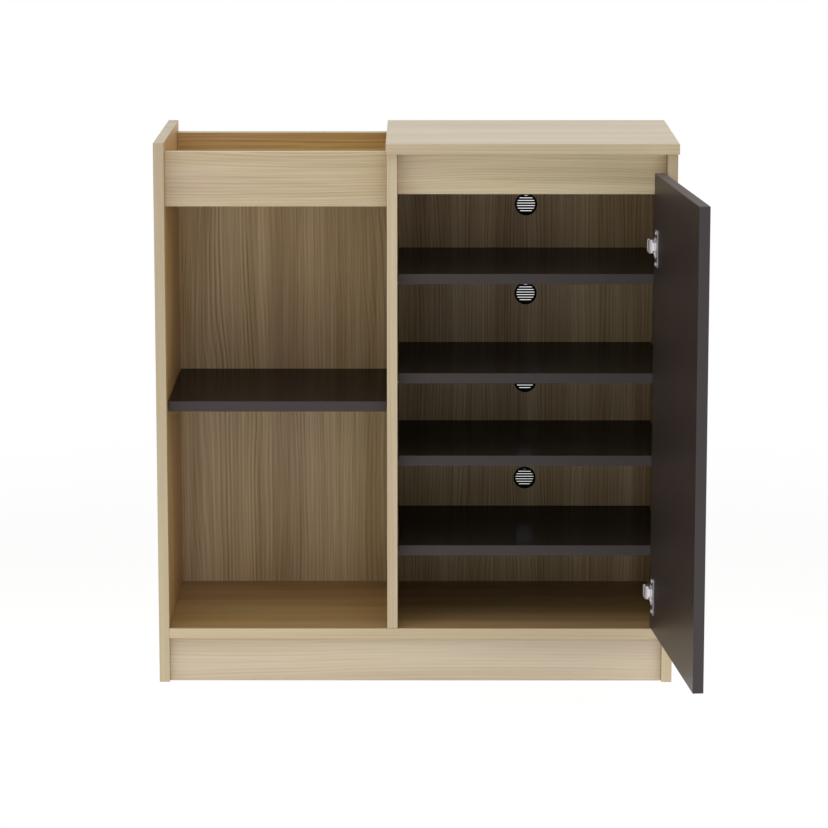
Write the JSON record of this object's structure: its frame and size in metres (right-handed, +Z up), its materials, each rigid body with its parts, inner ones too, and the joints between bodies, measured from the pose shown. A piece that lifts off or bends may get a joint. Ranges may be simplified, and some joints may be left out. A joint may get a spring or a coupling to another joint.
{
  "type": "shoe cabinet",
  "caption": "Low shoe cabinet with an open bay under a tray and a shelved, vented bay behind an inset hinged door.",
  "frame": {"origin": "on the floor, under the middle of the space the cabinet takes up with its door open", "axes": "+X to the right seen from the front, +Y to the rear, +Z up"},
  "size_m": [0.8176, 0.7563, 0.845],
  "materials": {
    "oak_board": "light oak grain melamine on chipboard, satin, grain along the board",
    "dark_board": "charcoal melamine on chipboard, satin",
    "back_board": "thin fibreboard with a printed oak face",
    "vent_plastic": "moulded black plastic",
    "hinge_steel": "nickel plated pressed steel",
    "fixing_steel": "bright zinc plated steel",
    "cam_zinc": "die cast zinc",
    "beech_dowel": "fluted beech, raw"
  },
  "bodies": {
    "root": {"left_side_panel": "oak_board", "right_side_panel": "oak_board", "divider_panel": "oak_board", "top_panel": "oak_board", "bottom_panel": "oak_board", "kick_board": "oak_board", "tray_front": "oak_board", "tray_floor": "oak_board", "tray_back": "oak_board", "top_rail": "oak_board", "back_panel": "back_board", "open_shelf": "dark_board", "shoe_shelf_1": "dark_board", "shoe_shelf_2": "dark_board", "shoe_shelf_3": "dark_board", "shoe_shelf_4": "dark_board", "shelf_pins": "fixing_steel", "vent_1": "vent_plastic", "vent_2": "vent_plastic", "vent_3": "vent_plastic", "vent_4": "vent_plastic", "upper_hinge_arm": "hinge_steel", "upper_hinge_plate": "hinge_steel", "upper_plate_screws": "fixing_steel", "upper_arm_screws": "fixing_steel", "lower_hinge_arm": "hinge_steel", "lower_hinge_plate": "hinge_steel", "lower_plate_screws": "fixing_steel", "lower_arm_screws": "fixing_steel", "cam_locks": "cam_zinc", "cam_bolts": "fixing_steel", "dowels": "beech_dowel"},
    "door": {"door_panel": "dark_board", "upper_hinge_cup": "hinge_steel", "upper_cup_screws": "fixing_steel", "upper_cup_pin": "hinge_steel", "lower_hinge_cup": "hinge_steel", "lower_cup_screws": "fixing_steel", "lower_cup_pin": "hinge_steel"},
    "upper_link": {"upper_hinge_link": "hinge_steel", "upper_arm_pin": "hinge_steel"},
    "lower_link": {"lower_hinge_link": "hinge_steel", "lower_arm_pin": "hinge_steel"}
  },
  "joints": [
    {"name": "door_hinge", "type": "hinge", "parent": "root", "child": "door", "pos_m": [0.37172, 0.02816, 0.444], "axis": [0, 0, 1], "range_deg": [-95.24, 0]},
    {"name": "upper_link_pivot", "type": "hinge", "parent": "door", "child": "upper_link", "pos_m": [0.35837, 0.02035, 0.687], "axis": [0, 0, 1], "range_deg": [0, 168.7]},
    {"name": "lower_link_pivot", "type": "hinge", "parent": "door", "child": "lower_link", "pos_m": [0.35837, 0.02035, 0.1445], "axis": [0, 0, 1], "range_deg": [0, 168.7]}
  ],
  "couplings": [
    {"joint": "upper_link_pivot", "follows": "door_hinge", "ratio": -1.7703},
    {"joint": "lower_link_pivot", "follows": "door_hinge", "ratio": -1.7703}
  ]
}
